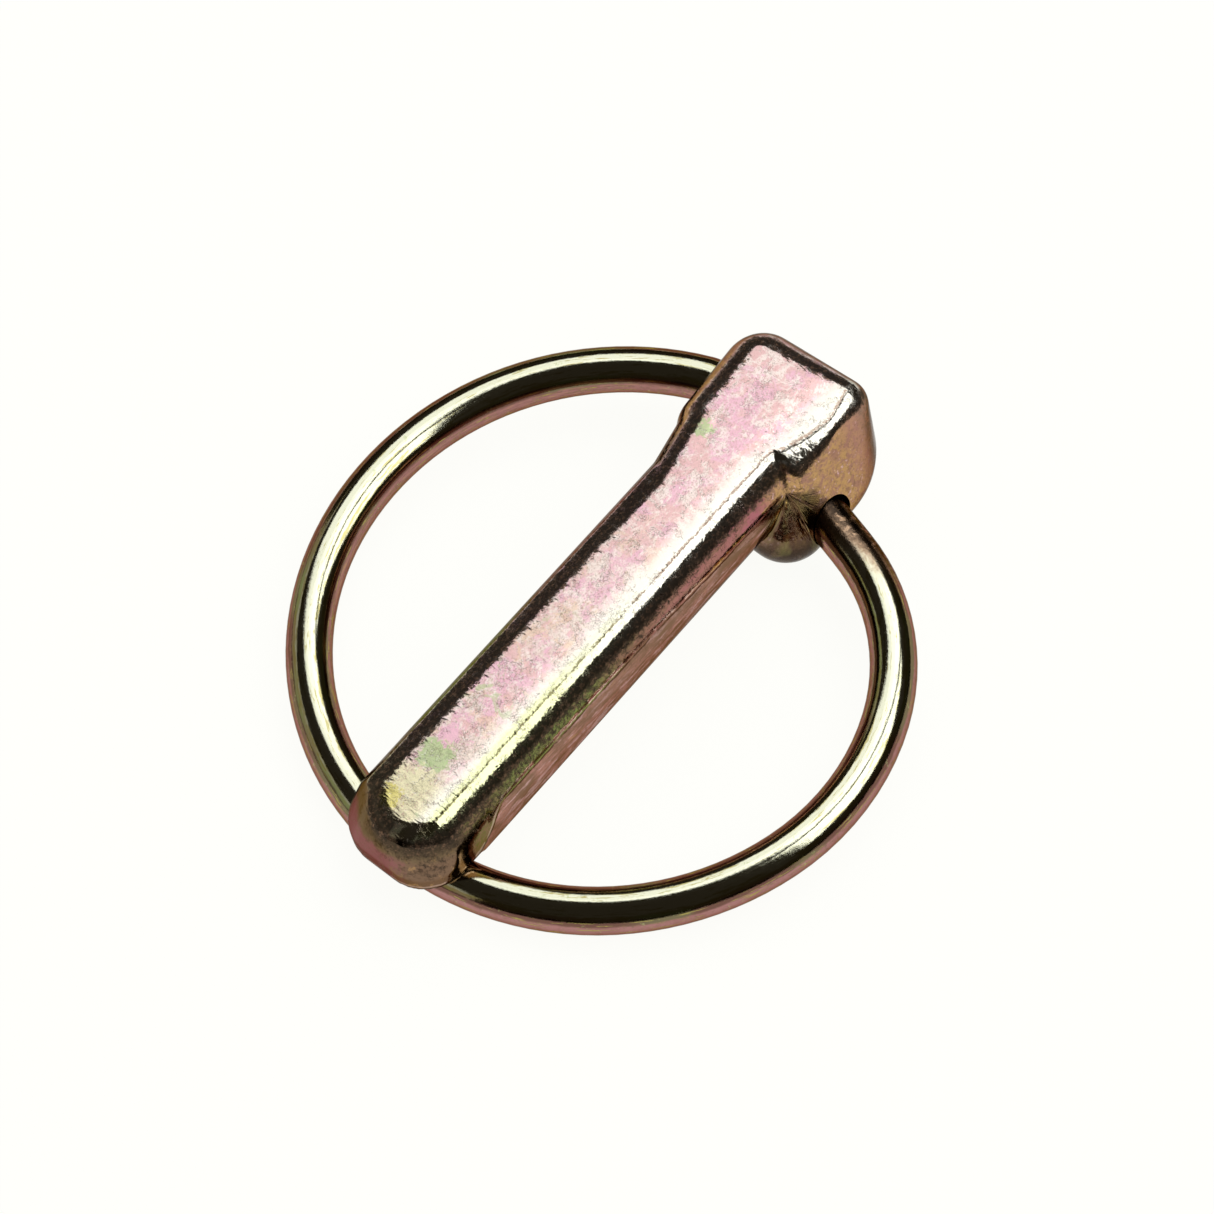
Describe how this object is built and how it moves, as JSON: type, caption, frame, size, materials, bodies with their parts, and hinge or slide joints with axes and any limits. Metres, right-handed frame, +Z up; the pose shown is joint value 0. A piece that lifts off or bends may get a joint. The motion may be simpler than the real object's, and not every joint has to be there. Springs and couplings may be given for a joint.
{
  "type": "linch pin",
  "caption": "Forged linch pin whose round spring-wire ring is hinged in a skewed hole through the head and snaps shut under the tip.",
  "frame": {"origin": "on the shank's axis, in the plane where the head seats against the shaft the pin is pushed through", "axes": "+X roughly along the shank from the head to the tip, +Z up as the part lies at rest with the flat of the pin upwards, +Y across the pin; the shank dips towards the tip by 3.7 degrees so that the head and the ring both touch the table"},
  "size_m": [0.0596, 0.0547, 0.0133],
  "materials": {
    "body_plating": "forged surface, zinc plated, yellow and pink iridescent chromate",
    "ring_plating": "smooth drawn wire, zinc plated, yellow-green iridescent chromate"
  },
  "bodies": {
    "pin_body": {"pin_body": "body_plating"},
    "snap_ring": {"snap_ring": "ring_plating"}
  },
  "joints": [
    {"name": "ring_swing", "type": "hinge", "parent": "pin_body", "child": "snap_ring", "pos_m": [-0.00798, 0, -0.00289], "axis": [0.2751, 0.9613, -0.0179], "range_deg": [0, 340]}
  ]
}
